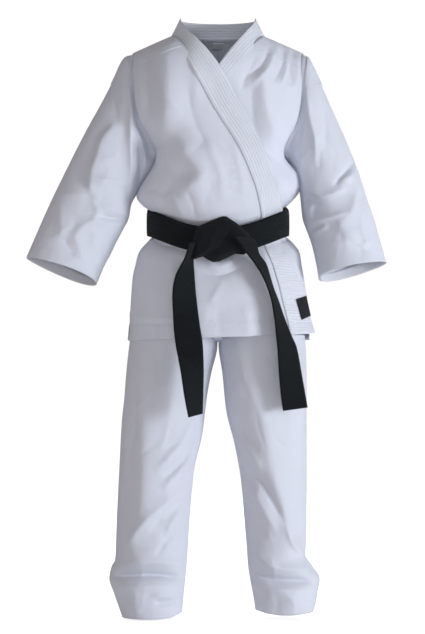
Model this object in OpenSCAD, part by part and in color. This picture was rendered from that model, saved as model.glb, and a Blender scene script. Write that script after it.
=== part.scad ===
// Child's karate uniform as worn: a wrapped jacket, trousers and a tied belt,
// hollow, as if a figure wore it. -Y is the front and +X the wearer's left.
// Heights are measured up from the trouser hems; the frame's origin is the
// middle of the neck opening, where a hanger or form carries the jacket.

/* [Jacket] */
// Width across the shoulders, tip to tip
shoulder_width = 276; // [240:1:320]
// Width of the neck opening at the shoulder seams
neck_width = 150; // [125:1:175]
// Rise of the shoulder seam from the tip to the neck
shoulder_slope = 28; // [12:1:45]
// Height from the belt line up to the shoulder tips
bodice_length = 270; // [235:1:325]
// Length of the skirt below the belt line
skirt_length = 182; // [150:1:220]
// Width of the jacket body at the chest
chest_width = 258; // [216:1:262]
// Width of the jacket body under the belt
waist_width = 194; // [168:1:226]
// Width of the skirt at its hem
skirt_width = 284; // [272:1:330]
// Front to back depth of the body at the chest
chest_depth = 172; // [150:1:200]
// Front to back depth of the body under the belt
waist_depth = 134; // [124:1:160]
// Front to back depth of the skirt at its hem
skirt_depth = 188; // [180:1:225]
// Height of the armhole
armhole_height = 165; // [137:1:190]
// Front to back depth of the armhole
armhole_depth = 92; // [76:1:110]
// Width of the collar and lapel band
lapel_width = 32; // [26:1:38]
// How far past the middle the lapels cross at the belt line
lapel_cross = 69; // [58:1:80]

/* [Sleeves] */
// Length of a sleeve along its outer fold
sleeve_length = 358; // [300:1:430]
// Width of a cuff, laid flat
cuff_width = 118; // [98:1:142]
// Front to back depth of an open cuff
cuff_depth = 84; // [70:1:100]
// Angle of the right sleeve's outer fold from the vertical
right_sleeve_angle = 26.6; // [20:0.1:32]
// Angle of the left sleeve's outer fold from the vertical
left_sleeve_angle = 20.9; // [16:0.1:26]
// How far a cuff hangs forward of the shoulder
cuff_forward = 30; // [20:1:36]

/* [Trousers] */
// Length of the inside leg
inseam = 437; // [364:1:525]
// Height of the belt line above the crotch
rise = 193; // [161:1:232]
// Width of one leg at its top
leg_top_width = 134; // [112:1:136]
// Width of one leg at its hem
leg_hem_width = 108; // [90:1:130]
// Front to back depth of one leg at its top
leg_top_depth = 150; // [125:1:160]
// Front to back depth of one leg at its hem
leg_hem_depth = 104; // [87:1:125]
// How far the legs' hems stand further apart than their tops, each
leg_spread = 37; // [20:1:44]
// Height of the waistband
waistband_height = 35; // [29:1:42]

/* [Belt] */
// Width of the belt
belt_width = 40; // [34:1:48]
// Thickness of the belt
belt_thickness = 3; // [2.5:0.1:3.6]
// How much lower the belt lies in front than at the sides
belt_drop = 30; // [20:1:36]
// Length of a belt end that hangs below the knot
tail_length = 238; // [200:1:285]
// Width across the knot
knot_width = 96; // [80:1:115]

/* [Cloth] */
// Thickness of the jacket and trouser cloth, seams included
cloth = 1.4; // [1.2:0.1:1.7]
// Thickness of the quilted collar band
band = 2.4; // [2:0.1:2.9]
// Height of a turned hem
hem_fold = 20; // [17:1:24]

/* [Labels] */
// Width of the woven patch on the lapel's foot
patch_width = 17; // [14:1:20]
// Height of the woven patch
patch_height = 31; // [26:1:37]

/* [Hidden] */

RIGHT = -1;
LEFT = 1;
FRONT = -1;
BACK = 1;

gap = 1.2;               // clearance between two layers of cloth
seam_gap = 1;            // each edge's distance from the seam line it shares
hinge_gap = 0.8;         // each edge's distance from the line where two bodies part

// Heights above the trouser hems
crotch_h = inseam;
belt_h = crotch_h + rise;
hem_h = belt_h - skirt_length;
shoulder_h = belt_h + bodice_length;
neck_h = shoulder_h + shoulder_slope;
underarm_h = shoulder_h - armhole_height;
split_drop = belt_width / 2 + 3;      // from the belt line down to where the skirt starts
blouse_foot = belt_width / 2 + 6;     // and up to where the jacket blouses out

// Layers over the inner front panel's outside, from the body outwards
lay_inner_lapel = gap + band;
lay_outer_panel = lay_inner_lapel + 2 * gap + cloth;
lay_outer_lapel = lay_outer_panel + gap + band;
belt_clear = 2;
belt_layer = lay_outer_lapel + belt_clear;

neck_half = neck_width / 2;
tip_half = shoulder_width / 2 - lay_outer_panel;
shoulder_round = 95;     // height over which the shoulder rounds from the seam to the chest
neck_back_rise = 14;     // how far the yoke would rise over the neck opening
neck_back_depth = 90;    // front to back depth of the neck opening
collar_lean = 13;        // how far the collar's free edge leans in at the side of the neck
collar_stand = 25;       // and how high it stands
body_square = 0.85;      // squares the body's ellipse a little; 1 leaves it round
lapel_bow = 0.9;         // how far the lapel's seam bows off a straight line

body_half_table = [
    [hem_h, skirt_width / 2], [belt_h - 100, skirt_width / 2 - 4], [belt_h - 62, skirt_width / 2 - 12],
    [belt_h - 45, lerp(waist_width, skirt_width, 0.6) / 2], [belt_h - split_drop, waist_width / 2],
    [belt_h + blouse_foot, waist_width / 2],
    [belt_h + blouse_foot + 22, chest_width / 2],
    [shoulder_h, tip_half],
];
body_depth_table = [
    [hem_h, skirt_depth / 2],
    [belt_h - 90, skirt_depth / 2 - 4],
    [belt_h - 50, lerp(waist_depth, skirt_depth, 0.5) / 2],
    [belt_h - split_drop, waist_depth / 2], [belt_h + blouse_foot, waist_depth / 2],
    [belt_h + blouse_foot + 22, chest_depth / 2 - 3],
    [belt_h + 150, chest_depth / 2],
    [shoulder_h, chest_depth / 2],
];

function lerp(a, b, s) = a + (b - a) * s;
function unit(v) = v / norm(v);
function clamp(v, low, high) = min(max(v, low), high);

// A sheet is a grid of points: rows run upwards and columns anticlockwise seen from above,
// so that the normal at each point faces outwards.
function normal_at(g, i, j, wrap) =
    let (rows = len(g), cols = len(g[0]))
    let (before = wrap ? (j + cols - 1) % cols : max(j - 1, 0))
    let (after = wrap ? (j + 1) % cols : min(j + 1, cols - 1))
    unit(cross(g[i][after] - g[i][before], g[min(i + 1, rows - 1)][j] - g[max(i - 1, 0)][j]));

function raised(g, d, wrap = false) =
    [for (i = [0:len(g) - 1]) [for (j = [0:len(g[0]) - 1]) g[i][j] + d * normal_at(g, i, j, wrap)]];

// Raised sideways only, so that the heights stay as they are
function widened(g, d) = [for (i = [0:len(g) - 1]) [for (j = [0:len(g[0]) - 1])
    let (n = normal_at(g, i, j, false)) g[i][j] + d * unit([n[0], n[1], 0])]];

function quad(a, b, c, d) = [[a, c, b], [a, d, c]];

// The sheet as a closed solid of thickness t, measured inwards from the grid.
module cloth_solid(g, t, wrap = false) {
    rows = len(g);
    cols = len(g[0]);
    n = rows * cols;
    last = wrap ? cols - 1 : cols - 2;
    inner = raised(g, -t, wrap);
    faces = concat(
        [for (i = [0:rows - 2], j = [0:last]) let (k = (j + 1) % cols)
            each quad(i * cols + j, i * cols + k, (i + 1) * cols + k, (i + 1) * cols + j)],
        [for (i = [0:rows - 2], j = [0:last]) let (k = (j + 1) % cols)
            each quad(n + (i + 1) * cols + j, n + (i + 1) * cols + k, n + i * cols + k, n + i * cols + j)],
        [for (j = [0:last]) let (k = (j + 1) % cols) each quad(n + j, n + k, k, j)],
        [for (j = [0:last]) let (k = (j + 1) % cols, top = (rows - 1) * cols)
            each quad(top + j, top + k, n + top + k, n + top + j)],
        wrap ? [] : [for (i = [0:rows - 2])
            each quad(n + i * cols, i * cols, (i + 1) * cols, n + (i + 1) * cols)],
        wrap ? [] : [for (i = [0:rows - 2]) let (a = i * cols + cols - 1, b = a + cols)
            each quad(a, n + a, n + b, b)]
    );
    polyhedron([for (row = g) each row, for (row = inner) each row], faces, convexity = 8);
}

module hung() {
    translate([0, 0, -neck_h]) children();
}

// ---- Jacket body -------------------------------------------------------

function body_half(h) = lookup(h, body_half_table);
function body_depth(h) = lookup(h, body_depth_table);

// Height of the shoulder seam over x, carried on over the neck opening
function ridge_h(x) = abs(x) < neck_half
    ? neck_h + neck_back_rise * (1 - pow(x / neck_half, 2))
    : lerp(neck_h, shoulder_h, (abs(x) - neck_half) / (tip_half - neck_half));

function armhole_y(h) = let (s = (h - underarm_h) / armhole_height)
    s <= 0 || s >= 1 ? 0 : armhole_depth / 2 * sqrt(1 - pow(2 * s - 1, 2));

// A point on the jacket at angle a round the body and height h. The body is an ellipse
// whose waist is tilted with the belt, rounded off at the shoulder and open at the armhole.
function body_pt(a, h, side) =
    let (s = abs(sin(a)), tilted = h - side * belt_drop * s)
    let (x = body_half(tilted) * cos(a), down = clamp((ridge_h(x) - h) / shoulder_round, 0, 1))
    let (edge = armhole_y(h), deep = edge + (body_depth(tilted) - edge) * pow(s, body_square))
    [x, side * max(seam_gap, deep * sqrt(1 - pow(1 - down, 2))), h];

function belt_line(a, side) = belt_h + side * belt_drop * abs(sin(a));
function split_h(a, side) = belt_line(a, side) - split_drop;

// Across and down the lapel's seam: s is 0 at the neck and 1 at the belt line
lapel_foot_h = belt_h - belt_drop - split_drop;
function lapel_x(s) = neck_half - (neck_half + lapel_cross) * (s + lapel_bow * s * (1 - s));
function lapel_h(s) = lerp(neck_h, lapel_foot_h, s);
function lapel_angle(s) = angle_at(lapel_x(s), lapel_h(s), FRONT);
neck_angle = acos(neck_half / tip_half);

// Angle round the body of the point at x and height h; the tilt of the waist needs a few rounds
function angle_at(x, h, side, a = 60, rounds = 5) = rounds == 0 ? a
    : angle_at(x, h, side, acos(clamp(x / body_half(h - side * belt_drop * sin(a)), -1, 1)), rounds - 1);

// Heights of a panel's rows between its foot and its top, closer where it curves
belt_rows = [0, split_drop + blouse_foot, split_drop + blouse_foot + 12, split_drop + blouse_foot + 26];
top_rows = [72, 52, 36, 24, 14, 6, 0];
middle_rows = 4;
row_count = len(belt_rows) + middle_rows + len(top_rows);
function row_h(i, foot, top) =
    let (low = foot + belt_rows[len(belt_rows) - 1], high = top - top_rows[0])
    i < len(belt_rows) ? foot + belt_rows[i]
    : i < len(belt_rows) + middle_rows ? lerp(low, high, (i - len(belt_rows) + 1) / (middle_rows + 1))
    : top - top_rows[i - len(belt_rows) - middle_rows];

// Front panel on one side, from the side seam to the lapel's seam
lapel_overlap = 1.5;     // angle by which a panel stops short of the lapel's seam, under the band
neck_clear = 3;          // and a further angle at its corner by the neck
function lapel_s(h) = (neck_h - h) / (neck_h - lapel_foot_h);
function front_panel(side, cols = 16) = [for (i = [0:row_count - 1])
    let (level = row_h(i, lapel_foot_h + hinge_gap, neck_h))
    let (spare = lapel_overlap + neck_clear * clamp((level - neck_h + 24) / 24, 0, 1))
    let (edge = lapel_angle(lapel_s(level)))
    [for (j = [0:cols])
        let (u = side == RIGHT ? j / cols : 1 - j / cols)
        let (a = min(u * (edge - lapel_overlap), edge - spare))
        let (top = ridge_h(tip_half * cos(u * neck_angle)))
        let (p = body_pt(a, row_h(i, split_h(a, FRONT) + hinge_gap, top), FRONT))
        [side * p[0], p[1], p[2]]]];

module right_front_panel() {
    color("white") hung() cloth_solid(raised(front_panel(RIGHT), lay_outer_panel), cloth);
}

module left_front_panel() {
    color("white") hung() cloth_solid(front_panel(LEFT), cloth);
}

// Half of the back, from the side seam to the middle seam
function back_panel(side, cols = 10) = [for (i = [0:row_count - 1]) [for (j = [0:cols])
    let (u = side == RIGHT ? j / cols : 1 - j / cols)
    let (a = lerp(90 - seam_gap / 2, 0, u))
    let (top_x = tip_half * cos(a), top = abs(top_x) < neck_half ? neck_h : ridge_h(top_x))
    let (p = body_pt(a, row_h(i, split_h(a, BACK) + hinge_gap, top), BACK))
    [side * p[0], p[1], p[2]]]];

module right_back_panel() {
    color("white") hung() cloth_solid(back_panel(RIGHT), cloth);
}

module left_back_panel() {
    color("white") hung() cloth_solid(back_panel(LEFT), cloth);
}

// The band's seam edge and free edge on a front, as it leaves the neck and lies down on the chest
function lapel_edges(side, s) =
    let (x = lapel_x(s), h = lapel_h(s), slope = (lapel_x(s + 0.01) - lapel_x(s - 0.01)) / 0.02)
    let (along = unit([slope, lapel_foot_h - neck_h]), lie = clamp(s / 0.25, 0, 1))
    let (seen = lapel_width * (1 - 0.28 * s * s))
    let (over = lerp([-collar_lean, collar_stand], seen * [along[1], -along[0]], lie))
    [for (k = [0, 0.5, 1])
        let (px = x + k * over[0], ph = h + k * over[1], a = angle_at(px, ph, FRONT))
        let (p = body_pt(a, max(ph, split_h(a, FRONT) + hinge_gap), FRONT))
        [side * p[0], p[1], p[2]]];

// The band behind the neck at angle a, standing on the back's neckline
function neck_edges(a) = [for (k = [0, 0.5, 1])
    let (half = neck_half - k * collar_lean, deep = neck_back_depth / 2 - k * collar_lean / 2)
    [half * cos(a), deep * sin(a), neck_h + k * collar_stand]];

lapel_rows = row_count - 1;
neck_rows = 10;
collar_path = [
    for (i = [0:lapel_rows]) lapel_edges(LEFT, lapel_s(row_h(i, lapel_foot_h, neck_h))),
    for (i = [1:neck_rows - 1]) neck_edges(180 * i / neck_rows),
    for (i = [lapel_rows:-1:0]) lapel_edges(RIGHT, lapel_s(row_h(i, lapel_foot_h, neck_h))),
];
// The band leaves the inner panel's layer for the outer panel's as it passes behind the neck
function collar_layer(i) = let (last = len(collar_path) - 1)
    lerp(lay_inner_lapel, lay_outer_lapel, clamp((i - lapel_rows) / (last - 2 * lapel_rows), 0, 1));

module collar_band() {
    g = [for (k = [0:2]) [for (edges = collar_path) edges[k]]];
    grid = [for (k = [0:2]) [for (i = [0:len(collar_path) - 1])
        g[k][i] + collar_layer(i) * normal_at(g, k, i, false)]];
    color("white") hung() cloth_solid(grid, band);
}

neck_label_size = [20, 12];
module neck_label() {
    half = neck_label_size[0] / 2;
    grid = [for (h = [neck_h - 4 - neck_label_size[1], neck_h - 4]) [for (x = [half, 0, -half])
        body_pt(angle_at(x, h, BACK), h, BACK)]];
    color("gainsboro") hung() cloth_solid(raised(grid, -cloth - 2 * gap), 0.8);
}

// Reinforcing yoke over one shoulder seam, from the neck to the armhole
yoke_reach = [38, 24, 12, 5, 1.5];
yoke_margin = 6;
module shoulder_yoke(side) {
    front_layer = side == RIGHT ? lay_outer_panel : 0;
    rows = len(yoke_reach);
    span = [neck_half + collar_lean, tip_half - yoke_margin];
    function over(x, d, face) = let (h = ridge_h(x) - d)
        let (p = body_pt(angle_at(x, h, face), h, face)) [side * p[0], p[1], h];
    xs = [for (j = [0:4]) lerp(span[0], span[1], side == RIGHT ? 1 - j / 4 : j / 4)];
    g = concat(
        [for (d = yoke_reach) [for (x = xs) over(x, d, FRONT)]],
        [for (k = [rows - 1:-1:0]) [for (x = xs) over(x, yoke_reach[k], BACK)]]
    );
    grid = [for (i = [0:2 * rows - 1]) [for (j = [0:len(xs) - 1])
        g[i][j] + (1.6 * gap + cloth + (i <= rows ? front_layer : 0)) * normal_at(g, i, j, false)]];
    color("white") hung() cloth_solid(grid, cloth);
}

// Tapes that tie the wrap at the waist, inside on the right and outside on the left
tie_width = 12;
module tie(side, from, to, above, layer) {
    grid = [for (w = [0, tie_width]) [for (j = [0:4])
        let (a = lerp(from, to, side == RIGHT ? j / 4 : 1 - j / 4))
        let (p = body_pt(a, belt_line(a, FRONT) + above + w, FRONT)) [side * p[0], p[1], p[2]]]];
    color("white") hung() cloth_solid(raised(grid, layer), cloth);
}

module inner_tie() {
    tie(RIGHT, 8, 50, 4, -cloth - gap);
}

module outer_tie() {
    tie(LEFT, 6, 22, -6, gap + cloth);
}

// ---- Sleeves -----------------------------------------------------------

sleeve_start = shoulder_width / 2 + seam_gap;
armhole_clear = 9;       // the sleeve head turns inside the armhole when the sleeve is raised
cuff_tilt_share = 0.72;  // the cuff's tilt, as a share of the outer fold's angle
underarm_hang = 95;      // how far the sleeve hangs straight down under the arm

function bezier(p, q, r, s) = lerp(lerp(p, q, s), lerp(q, r, s), s);
function sleeve_outer(angle, s) =
    [sleeve_start, shoulder_h - armhole_clear] + s * sleeve_length * [sin(angle), -cos(angle)];
function sleeve_inner(angle, s) =
    let (tilt = angle * cuff_tilt_share, cuff = sleeve_outer(angle, 1) - cuff_width * [cos(tilt), sin(tilt)])
    bezier([sleeve_start, underarm_h], [sleeve_start, underarm_h - underarm_hang], cuff, s);

// One ring of a sleeve at s, 0 at the armhole and 1 at the cuff
function sleeve_ring(side, angle, s, n) =
    let (o = sleeve_outer(angle, s), i = sleeve_inner(angle, s), mid = (o + i) / 2, reach = (o - i) / 2)
    let (deep = lerp(armhole_depth / 2 - armhole_clear, cuff_depth / 2, s), forward = -cuff_forward * s * s)
    [for (k = [0:n - 1]) let (a = side * 360 * k / n)
        [side * (mid[0] + reach[0] * cos(a)), forward + side * deep * sin(a), mid[1] + reach[1] * cos(a)]];

function sleeve_grid(side, angle, from, to, rows, n = 20) =
    [for (i = [0:rows]) sleeve_ring(side, angle, lerp(to, from, i / rows), n)];

module sleeve(side, angle) {
    color("white") hung() cloth_solid(sleeve_grid(side, angle, 0, 1, 9), cloth, wrap = true);
}

module cuff_facing(side, angle) {
    share = hem_fold / sleeve_length;
    grid = sleeve_grid(side, angle, 1 - 1.4 * share, 1 - 0.1 * share, 1);
    color("white") hung() cloth_solid(raised(grid, -cloth - gap, wrap = true), cloth, wrap = true);
}

// Patch over the sleeve head, ending in a seam across the upper arm
head_patch_reach = 0.17;
module sleeve_head_patch(side, angle) {
    columns = 6;
    grid = [for (i = [0:2]) let (ring = sleeve_ring(side, angle, lerp(head_patch_reach, 0.03, i / 2), 20))
        [for (j = [-columns / 2:columns / 2]) ring[(j + 20) % 20]]];
    color("white") hung() cloth_solid(raised(grid, gap + cloth), cloth);
}

// ---- Skirt -------------------------------------------------------------

vent_angle = 4;          // half the angle of the slit at each side
lapel_foot_x = 110;      // the outer lapel's seam at the hem
foot_rows = 5;

// The lapel's seam below the belt, as an angle round the body
function foot_angle(v) = acos(lerp(lapel_foot_x * skirt_width / 284 / body_half(hem_h),
    lapel_cross / body_half(lapel_foot_h + belt_drop), v));

function skirt_pt(side, a, v, face) =
    let (p = body_pt(a, lerp(hem_h, split_h(a, face) - hinge_gap, v), face)) [side * p[0], p[1], p[2]];

// A front skirt from its own side's slit to the lapel's seam on the other side
function front_skirt(side, cols = 16) = [for (i = [0:foot_rows]) [for (j = [0:cols])
    let (u = side == RIGHT ? j / cols : 1 - j / cols, v = i / foot_rows)
    skirt_pt(side, lerp(vent_angle, 180 - foot_angle(v), u), v, FRONT)]];

module outer_front_skirt() {
    color("white") hung() cloth_solid(widened(front_skirt(RIGHT), lay_outer_panel), cloth);
}

module inner_front_skirt() {
    color("white") hung() cloth_solid(front_skirt(LEFT), cloth);
}

// The lapel band carried on below the belt to the hem
function foot_strip(side) = [for (i = [0:foot_rows]) let (v = i / foot_rows, seam = 180 - foot_angle(v))
    [for (k = [0:3]) let (u = side == RIGHT ? k / 3 : 1 - k / 3)
        skirt_pt(side, lerp(seam, 180 - vent_angle - foot_free(v), u), v, FRONT)]];
// Angle of the band's free edge from the slit: it reaches the slit at the hem
function foot_free(v) = lerp(0, foot_angle(1) / 2, v);

module lapel_foot(side, layer) {
    color("white") hung() cloth_solid(widened(foot_strip(side), layer), band);
}

module outer_lapel_foot() {
    lapel_foot(RIGHT, lay_outer_lapel);
}

module inner_lapel_foot() {
    lapel_foot(LEFT, lay_inner_lapel);
}

function hem_strip(side, from, to, face, cols = 16) =
    [for (h = [hem_h + 1, hem_h + hem_fold]) [for (j = [0:cols])
    let (p = body_pt(lerp(from, to, j / cols), h, face)) [side * p[0], p[1], p[2]]]];

module front_hem_facing() {
    grid = hem_strip(RIGHT, vent_angle, 180 - vent_angle, FRONT);
    color("white") hung() cloth_solid(raised(grid, -cloth - gap), cloth);
}

module back_hem_facing() {
    grid = hem_strip(LEFT, vent_angle, 180 - vent_angle, BACK);
    color("white") hung() cloth_solid(raised(grid, -cloth - gap), cloth);
}

function back_skirt(side, cols = 9) = [for (i = [0:foot_rows]) [for (j = [0:cols])
    let (u = side == RIGHT ? j / cols : 1 - j / cols)
    skirt_pt(side, lerp(90 - seam_gap, vent_angle, u), i / foot_rows, BACK)]];

module right_back_skirt() {
    color("white") hung() cloth_solid(back_skirt(RIGHT), cloth);
}

module left_back_skirt() {
    color("white") hung() cloth_solid(back_skirt(LEFT), cloth);
}

// Woven patch on the outer lapel's foot, above the hem
patch_above_hem = 27;
patch_thickness = 0.8;
module woven_patch() {
    function at(u, w) =
        let (h = hem_h + patch_above_hem + w * patch_height, v = (h - hem_h) / (lapel_foot_h - hem_h))
        let (start = foot_angle(v) - patch_inset, reach = patch_width / (skirt_width / 2) * 57.3 * 1.3)
        body_pt(start - u * reach, h, FRONT);
    grid = [for (w = [0, 0.5, 1]) [for (u = [0, 0.5, 1]) at(u, w)]];
    color([0.06, 0.06, 0.08]) hung() cloth_solid(widened(grid, lay_outer_lapel + gap), patch_thickness);
}
patch_inset = 7;         // angle between the lapel's seam and the patch

// ---- Trousers ----------------------------------------------------------

waist_top_h = belt_h - 5;
waist_foot_h = waist_top_h - waistband_height;
inside = cloth + 2 * gap + 2;   // from the jacket's inside surface to the trousers

hip_half_table = [
    [crotch_h, leg_top_width + 3], [crotch_h + 40, leg_top_width - 4], [crotch_h + 85, leg_top_width - 22],
    [belt_h - 75, waist_width / 2 - inside + 2], [waist_foot_h, waist_width / 2 - inside],
];
hip_depth_table = [
    [crotch_h, leg_top_depth / 2 + 4], [crotch_h + 40, leg_top_depth / 2 + 1],
    [belt_h - 75, waist_depth / 2 - inside + 2], [waist_foot_h, waist_depth / 2 - inside],
];
function hip_pt(a, h) = [lookup(h, hip_half_table) * cos(a), lookup(h, hip_depth_table) * sin(a), h];

function band_ring(h, off, n) = [for (k = [0:n - 1]) let (a = 360 * k / n)
    [(waist_width / 2 - inside - off) * cos(a), (waist_depth / 2 - inside - off) * sin(a), h]];

// A casing folded over at the top, with the elastic running inside it
elastic = 1.4;
casing_depth = 2 * cloth + 2 * gap + elastic;
module waistband() {
    foot = waist_foot_h + seam_gap;
    grid = concat([band_ring(foot, 0, 32), band_ring(waist_top_h, 0, 32)],
        [band_ring(waist_top_h, casing_depth, 32), band_ring(foot, casing_depth, 32)]);
    color("white") hung() ring_wall(grid, cloth);
}

elastic_height_share = 0.7;
module waist_elastic() {
    margin = waistband_height * (1 - elastic_height_share) / 2;
    grid = [for (h = [waist_foot_h + margin, waist_top_h - margin]) band_ring(h, cloth + gap, 32)];
    color("ivory") hung() cloth_solid(grid, elastic, wrap = true);
}

// A wall folded over: outer foot, outer top, inner top and inner foot of the ring's section
module ring_wall(g, t) {
    cols = len(g[0]);
    function shifted(ring, off, up) = [for (p = ring)
        let (share = 1 - off / norm([p[0], p[1]]))
        [p[0] * share, p[1] * share, p[2] + up]];
    inside = [shifted(g[3], -t, 0), shifted(g[2], -t, -t), shifted(g[1], t, -t), shifted(g[0], t, 0)];
    loop = [g[0], g[1], g[2], g[3], each inside];
    rows = len(loop);
    faces = [for (i = [0:rows - 1], j = [0:cols - 1]) let (k = (j + 1) % cols, m = (i + 1) % rows)
        each quad(i * cols + j, i * cols + k, m * cols + k, m * cols + j)];
    polyhedron([for (ring = loop) each ring], faces, convexity = 8);
}

// A quarter of the seat, between the side seam and the middle seam. Its foot rises towards
// the side, to let the leg's head in when the leg is spread.
hip_axis_x = leg_top_width * 0.6;
hip_room = tan(27);
function rise_foot(a) = crotch_h + 3 + max(0, abs(cos(a)) * (leg_top_width + 3) - hip_axis_x + 3) * hip_room;
module rise_panel(from, to) {
    rows = 6;
    cols = 8;
    edge = 0.6;
    grid = [for (i = [0:rows]) [for (j = [0:cols]) let (a = lerp(from + edge, to - edge, j / cols))
        hip_pt(a, lerp(rise_foot(a), waist_foot_h - seam_gap, i / rows))]];
    color("white") hung() cloth_solid(grid, cloth);
}

// Diamond between the legs
gusset_width = 40;
module crotch_gusset() {
    reach = leg_top_depth / 2 - 4;
    grid = [for (y = [1, 0.5, 0, -0.5, -1]) [for (x = [-0.5, 0, 0.5])
        [x * gusset_width * (1.15 - abs(y)), y * reach, crotch_h + 1 + cloth + 3 * y * y]]];
    color("white") hung() cloth_solid(grid, cloth);
}

leg_flare = 10;          // how far the hem's stacked folds stand out
function leg_outer(s) = lookup(s, [
    [0, leg_top_width + 1], [0.05, leg_top_width + 5], [0.2, leg_top_width + 12], [0.8, leg_top_width + 20],
    [0.86, leg_top_width + 22 + leg_flare], [1, leg_top_width + 22],
]);
function leg_inner(s) = lookup(s, [
    [0, 3], [0.15, 3 + leg_spread * 0.3], [0.5, 3 + leg_spread], [1, leg_top_width + 22 - leg_hem_width],
]);
function leg_depth(s) = lerp(leg_top_depth, leg_hem_depth, clamp(s * 1.6, 0, 1)) / 2;

// A point on a leg: s is 0 at the crotch and 1 at the hem
function leg_pt(side, a, s) =
    let (mid = (leg_outer(s) + leg_inner(s)) / 2, half = (leg_outer(s) - leg_inner(s)) / 2)
    [side * mid + half * cos(a), leg_depth(s) * sin(a), (1 - s) * crotch_h];

leg_cols = 12;
leg_rows = [1, 0.93, 0.86, 0.8, 0.65, 0.5, 0.35, 0.2, 0.12, 0.05, 0];
leg_top_gap = 1.5;       // from the crotch down to the leg's top edge
module leg_panel(side, face) {
    start = face == BACK ? 0 : 180;
    edge = 0.8;
    top = leg_top_gap / inseam;
    grid = [for (s = leg_rows) [for (j = [0:leg_cols])
        leg_pt(side, start + lerp(edge, 180 - edge, j / leg_cols), top + (1 - top) * s)]];
    color("white") hung() cloth_solid(grid, cloth);
}

module leg_hem_facing(side) {
    share = hem_fold / inseam;
    grid = [for (s = [1 - 0.05 * share, 1 - share]) [for (k = [0:23]) leg_pt(side, 15 * k, s)]];
    color("white") hung() cloth_solid(raised(grid, -cloth - gap, wrap = true), cloth, wrap = true);
}

// ---- Belt --------------------------------------------------------------

function belt_ring(layer, up, n = 40) = [for (k = [0:n - 1]) let (a = 360 * k / n)
    [(waist_width / 2 + belt_layer + layer) * cos(a),
     (waist_depth / 2 + belt_layer + layer) * sign(sin(a)) * pow(abs(sin(a)), body_square),
     belt_h + belt_drop * sin(a) + up]];

module belt_wrap(layer, share) {
    grid = [for (up = [-1, 1] * belt_width * share / 2) belt_ring(layer + belt_thickness, up)];
    color([0.05, 0.06, 0.07]) hung() cloth_solid(grid, belt_thickness, wrap = true);
}

belt_pitch = belt_thickness + gap / 2;
module belt_inner_wrap() {
    belt_wrap(0, 0.94);
}

module belt_outer_wrap() {
    belt_wrap(belt_pitch, 1);
}

belt_front_y = -(waist_depth / 2 + belt_layer + 2 * belt_pitch + gap / 2);
belt_front_h = belt_h - belt_drop;
knot_half = knot_width / 2;
knot_thickness = 2 * belt_thickness + 2;

// Flat plate standing in front of the belt: an outline in x and height
module front_plate(outline, front, thickness) {
    translate([0, front, 0]) rotate([90, 0, 0]) linear_extrude(thickness) polygon(outline);
}

module knot_core() {
    outline = [[-0.8, -0.45], [0.95, -0.3], [0.75, 0.5], [-0.7, 0.5]];
    color([0.05, 0.06, 0.07]) hung()
        front_plate([for (p = outline) [p[0] * knot_half, belt_front_h + p[1] * belt_width]],
            belt_front_y - gap / 2, knot_thickness);
}

module knot_wrap() {
    outline = [
        [-0.72, -0.72], [-0.4, -0.6], [-0.06, -0.86], [0.75, -0.4],
        [1.25, 0], [0.3, 0.98], [0.05, 0.98], [-0.72, 0.65],
    ];
    color([0.05, 0.06, 0.07]) hung()
        front_plate([for (p = outline) [p[0] * knot_half, belt_front_h + p[1] * belt_width]],
            belt_front_y - gap - knot_thickness, knot_thickness);
}

// A belt end: hangs from below the knot in front of the skirt. Its middle line is given by
// where it is at the top and at the foot, and turn is how far it twists on the way.
right_tail_top = belt_front_h - belt_width * 0.88;
left_tail_top = belt_front_h - belt_width * 0.45;
tail_front_y = -(skirt_depth / 2 + lay_outer_lapel + gap + belt_thickness);
module belt_tail(top_h, xs, turns, widths) {
    rows = 10;
    foot_h = left_tail_top - tail_length;
    grid = [for (i = [0:rows])
        let (v = 1 - i / rows, x = lookup(v, xs), turn = lookup(v, turns))
        let (wide = belt_width * lookup(v, widths))
        [for (k = [-0.5, 0, 0.5])
            [x + k * wide * cos(turn), tail_y(v) - wide / 2 * abs(sin(turn)) + k * wide * sin(turn),
             lerp(top_h, foot_h, v)]]];
    color([0.05, 0.06, 0.07]) hung() cloth_solid(grid, belt_thickness);
}
// The tail leaves the knot and lies over the skirt's slope
function tail_y(v) = lerp(belt_front_y - knot_thickness, tail_front_y, clamp(v * 2.2, 0, 1)) - gap;

module right_belt_tail() {
    belt_tail(right_tail_top, [[0, -45], [0.15, -52], [0.3, -53], [0.65, -44], [1, -34]],
        [[0, 25], [0.35, 0], [0.65, 20], [1, 60]], [[0, 0.6], [0.12, 0.9], [0.2, 1]]);
}

module left_belt_tail() {
    belt_tail(left_tail_top, [[0, 49], [0.1, 62], [0.3, 84], [0.6, 104], [1, 120]],
        [[0, -20], [0.15, -40], [0.3, -68], [0.5, -32], [1, 0]], [[0, 0.5], [0.1, 0.85], [0.2, 1]]);
}

right_front_panel();
left_front_panel();
right_back_panel();
left_back_panel();
collar_band();
neck_label();
shoulder_yoke(RIGHT);  // right_shoulder_yoke
shoulder_yoke(LEFT);  // left_shoulder_yoke
inner_tie();
outer_tie();
sleeve(RIGHT, right_sleeve_angle);  // right_sleeve
sleeve_head_patch(RIGHT, right_sleeve_angle);  // right_sleeve_head_patch
cuff_facing(RIGHT, right_sleeve_angle);  // right_cuff_facing
sleeve(LEFT, left_sleeve_angle);  // left_sleeve
sleeve_head_patch(LEFT, left_sleeve_angle);  // left_sleeve_head_patch
cuff_facing(LEFT, left_sleeve_angle);  // left_cuff_facing
outer_front_skirt();
inner_front_skirt();
outer_lapel_foot();
inner_lapel_foot();
front_hem_facing();
woven_patch();
right_back_skirt();
left_back_skirt();
back_hem_facing();
waistband();
waist_elastic();
rise_panel(180, 270);  // right_front_rise
rise_panel(270, 360);  // left_front_rise
rise_panel(90, 180);  // right_back_rise
rise_panel(0, 90);  // left_back_rise
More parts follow.
